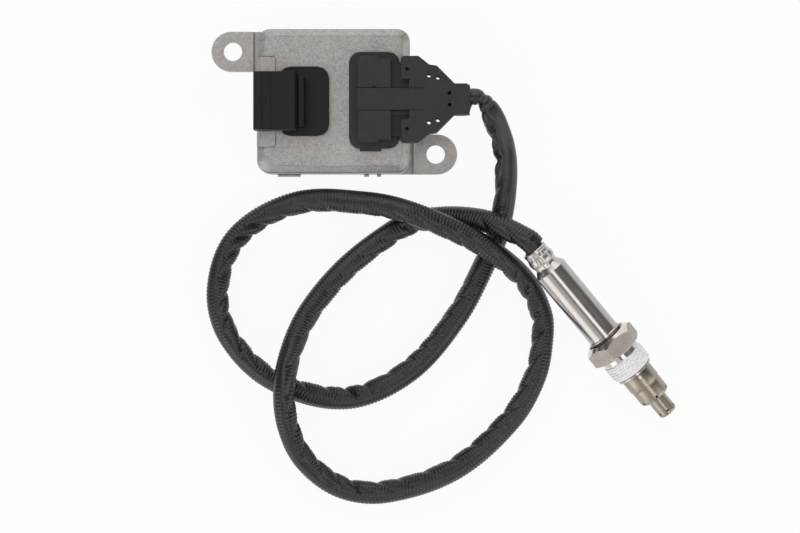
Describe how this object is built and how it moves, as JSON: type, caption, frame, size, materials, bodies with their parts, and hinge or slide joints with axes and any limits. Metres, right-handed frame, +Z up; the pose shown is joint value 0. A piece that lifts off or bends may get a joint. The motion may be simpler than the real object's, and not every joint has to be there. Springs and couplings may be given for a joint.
{
  "type": "nitrogen oxide sensor",
  "caption": "Exhaust gas sensor: metal-cased control module with two lugs, sleeved cable in loops, and a steel probe with a captive hex nut and perforated guard tubes.",
  "frame": {"origin": "middle of the control module's underside, on the surface it lies on", "axes": "+Z up out of the module's top; -X the way the vehicle connector opens; +X the way the cable leaves the module"},
  "size_m": [0.2205, 0.2226, 0.0342],
  "materials": {
    "aluminium_sheet": "satin rolled sheet",
    "aluminium_cover": "grainy satin, mottled",
    "seal_rubber": "matte",
    "board": "solder mask",
    "screw_steel": "zinc plated",
    "component_black": "moulded",
    "component_can": "satin",
    "connector_black": "satin moulded",
    "contact_brass": "bright",
    "boot_charcoal": "fine matte moulded",
    "lead_insulation": "smooth",
    "cable_sleeve": "finely ribbed, creased, semi-gloss",
    "polished_steel": "polished",
    "ceramic_white": "matte",
    "guard_steel": "satin, faint heat tint",
    "nut_steel": "blasted flats, bright chamfers, white paste on the thread"
  },
  "bodies": {
    "assembly": {"base_plate": "aluminium_sheet", "cover": "aluminium_cover", "cover_seal": "seal_rubber", "circuit_board": "board", "board_screw_1": "screw_steel", "board_screw_2": "screw_steel", "board_screw_3": "screw_steel", "board_screw_4": "screw_steel", "controller_chip": "component_black", "heater_driver": "component_black", "filter_capacitor": "component_can", "connector_header": "connector_black", "header_seal": "seal_rubber", "connector_pin_1": "contact_brass", "connector_pin_2": "contact_brass", "connector_pin_3": "contact_brass", "connector_pin_4": "contact_brass", "connector_pin_5": "contact_brass", "plug_base": "connector_black", "plug_seal": "seal_rubber", "plug_pin_1": "contact_brass", "plug_pin_2": "contact_brass", "plug_pin_3": "contact_brass", "plug_pin_4": "contact_brass", "plug_terminal_1": "contact_brass", "plug_terminal_2": "contact_brass", "plug_terminal_3": "contact_brass", "plug_terminal_4": "contact_brass", "plug_housing": "boot_charcoal", "boot_upper": "boot_charcoal", "boot_lower": "boot_charcoal", "plug_lead_1": "lead_insulation", "plug_lead_2": "lead_insulation", "plug_lead_3": "lead_insulation", "plug_lead_4": "lead_insulation", "cable_sleeve": "cable_sleeve", "probe_sleeve": "polished_steel", "neck_grommet": "seal_rubber", "probe_lead_1": "lead_insulation", "probe_lead_2": "lead_insulation", "probe_lead_3": "lead_insulation", "probe_lead_4": "lead_insulation", "contact_holder": "ceramic_white", "upper_insulator": "ceramic_white", "powder_seal": "ceramic_white", "lower_insulator": "ceramic_white", "sensing_element": "ceramic_white", "sensor_body": "guard_steel", "outer_guard": "guard_steel", "inner_guard": "guard_steel"},
    "nut": {"hex_nut": "nut_steel"}
  },
  "joints": [
    {"name": "nut_spin", "type": "hinge", "parent": "assembly", "child": "nut", "pos_m": [0.13373, -0.11767, 0.01337], "axis": [0.638, -0.7589, -0.1305], "continuous": true}
  ]
}
